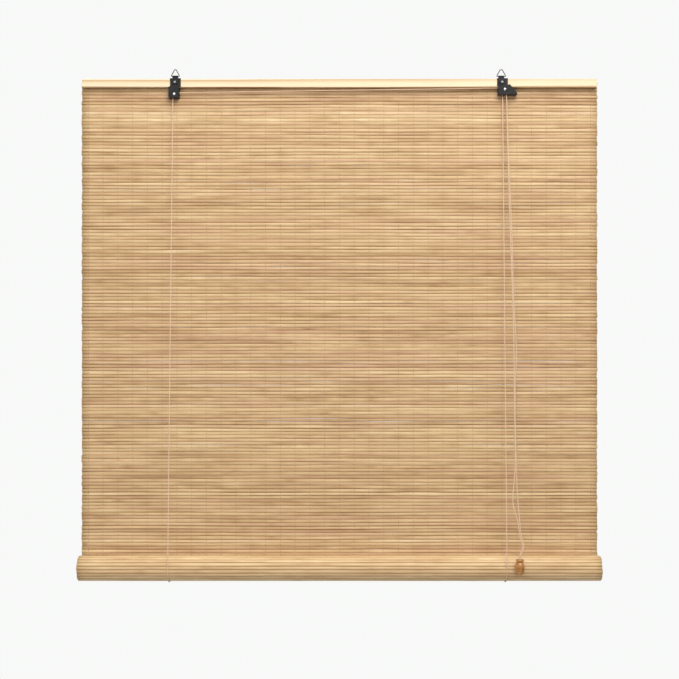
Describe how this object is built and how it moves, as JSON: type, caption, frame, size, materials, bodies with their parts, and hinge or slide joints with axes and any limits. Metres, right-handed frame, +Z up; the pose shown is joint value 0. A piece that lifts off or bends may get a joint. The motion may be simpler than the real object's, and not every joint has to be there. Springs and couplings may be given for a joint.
{
  "type": "bamboo roll up blind",
  "caption": "Woven bamboo slat mat on a pine head rail, rolled up from below by two lift cords that run over pulleys to a cord lock and a turned pull knob.",
  "frame": {"origin": "point at mid width on the line through the inside tops of both hanger rings, where the hooks bear", "axes": "+X along the blind's width, the lock is at +X; +Z up; -Y faces the room, so the mat hangs behind the rail at +Y"},
  "size_m": [0.9, 0.0663, 0.8884],
  "materials": {
    "pine": "bare planed pine, satin",
    "bamboo": "bare split bamboo, dull satin",
    "batten_pine": "bare pine",
    "warp_thread": "twisted cotton thread",
    "bright_steel": "zinc plated",
    "black_steel": "black lacquer, semi-gloss",
    "ring_wire": "dark plated wire",
    "pulley_nylon": "natural nylon",
    "roller_brass": "knurled brass",
    "cord": "twisted cord",
    "knob_wood": "turned, clear varnish"
  },
  "bodies": {
    "rail_and_mat": {"head_rail": "pine", "fixed_slats": "bamboo", "hanging_slats": "bamboo", "fixed_threads": "warp_thread", "warp_threads": "warp_thread", "mat_staples": "bright_steel", "left_screw": "bright_steel", "right_screw": "bright_steel", "left_pulley_rivet": "bright_steel", "right_pulley_rivet": "bright_steel", "left_bracket": "black_steel", "right_lock_housing": "black_steel", "left_hanger_strap": "black_steel", "right_hanger_strap": "black_steel", "left_lift_cord": "cord", "right_lift_cord": "cord", "left_back_cord": "cord", "right_back_cord": "cord", "left_cord_anchor": "cord", "right_cord_anchor": "cord", "cross_cord": "cord", "right_cord_wrap": "cord", "left_pull_cord": "cord", "right_pull_cord": "cord"},
    "cord_slings": {"left_cord_sling": "cord", "right_cord_sling": "cord"},
    "roll": {"rolled_mat": "bamboo", "bottom_batten": "batten_pine"},
    "left_pulley_wheel": {"left_pulley": "pulley_nylon"},
    "right_pulley_wheel": {"right_pulley": "pulley_nylon"},
    "roller": {"lock_roller": "roller_brass"},
    "left_hanger": {"left_ring": "ring_wire"},
    "right_hanger": {"right_ring": "ring_wire"},
    "knob": {"cord_knob": "knob_wood", "knob_knot": "cord"}
  },
  "joints": [
    {"name": "roll_lift", "type": "slide", "parent": "rail_and_mat", "child": "cord_slings", "axis": [0, 0, 1], "range_m": [0, 0.756], "deforming": ["hanging_slats", "warp_threads", "left_lift_cord", "right_lift_cord", "left_back_cord", "right_back_cord"]},
    {"name": "roll_turn", "type": "hinge", "parent": "cord_slings", "child": "roll", "pos_m": [0, -0.00935, -0.86258], "axis": [1, 0, 0], "range_deg": [-1800, 0]},
    {"name": "left_pulley_spin", "type": "hinge", "parent": "rail_and_mat", "child": "left_pulley_wheel", "pos_m": [-0.287, 0.0056, -0.0414], "axis": [0, 1, 0], "continuous": true},
    {"name": "right_pulley_spin", "type": "hinge", "parent": "rail_and_mat", "child": "right_pulley_wheel", "pos_m": [0.2872, 0.0056, -0.0334], "axis": [0, 1, 0], "continuous": true},
    {"name": "knob_drop", "type": "slide", "parent": "rail_and_mat", "child": "knob", "axis": [0, 0, -1], "range_m": [0, 1.512], "deforming": ["left_pull_cord", "right_pull_cord"]},
    {"name": "lock_roller_slide", "type": "slide", "parent": "rail_and_mat", "child": "roller", "axis": [0.7607, 0, -0.6491], "range_m": [0, 0.006]},
    {"name": "left_ring_swing", "type": "hinge", "parent": "rail_and_mat", "child": "left_hanger", "pos_m": [-0.285, 0, -0.0111], "axis": [1, 0, 0], "range_deg": [-90, 90]},
    {"name": "right_ring_swing", "type": "hinge", "parent": "rail_and_mat", "child": "right_hanger", "pos_m": [0.2808, 0, -0.0111], "axis": [1, 0, 0], "range_deg": [-90, 90]}
  ],
  "couplings": [
    {"joint": "roll_turn", "follows": "roll_lift", "rad_per_m": -41.556},
    {"joint": "left_pulley_spin", "follows": "roll_lift", "rad_per_m": 625},
    {"joint": "right_pulley_spin", "follows": "roll_lift", "rad_per_m": 625},
    {"joint": "knob_drop", "follows": "roll_lift", "ratio": 2}
  ]
}
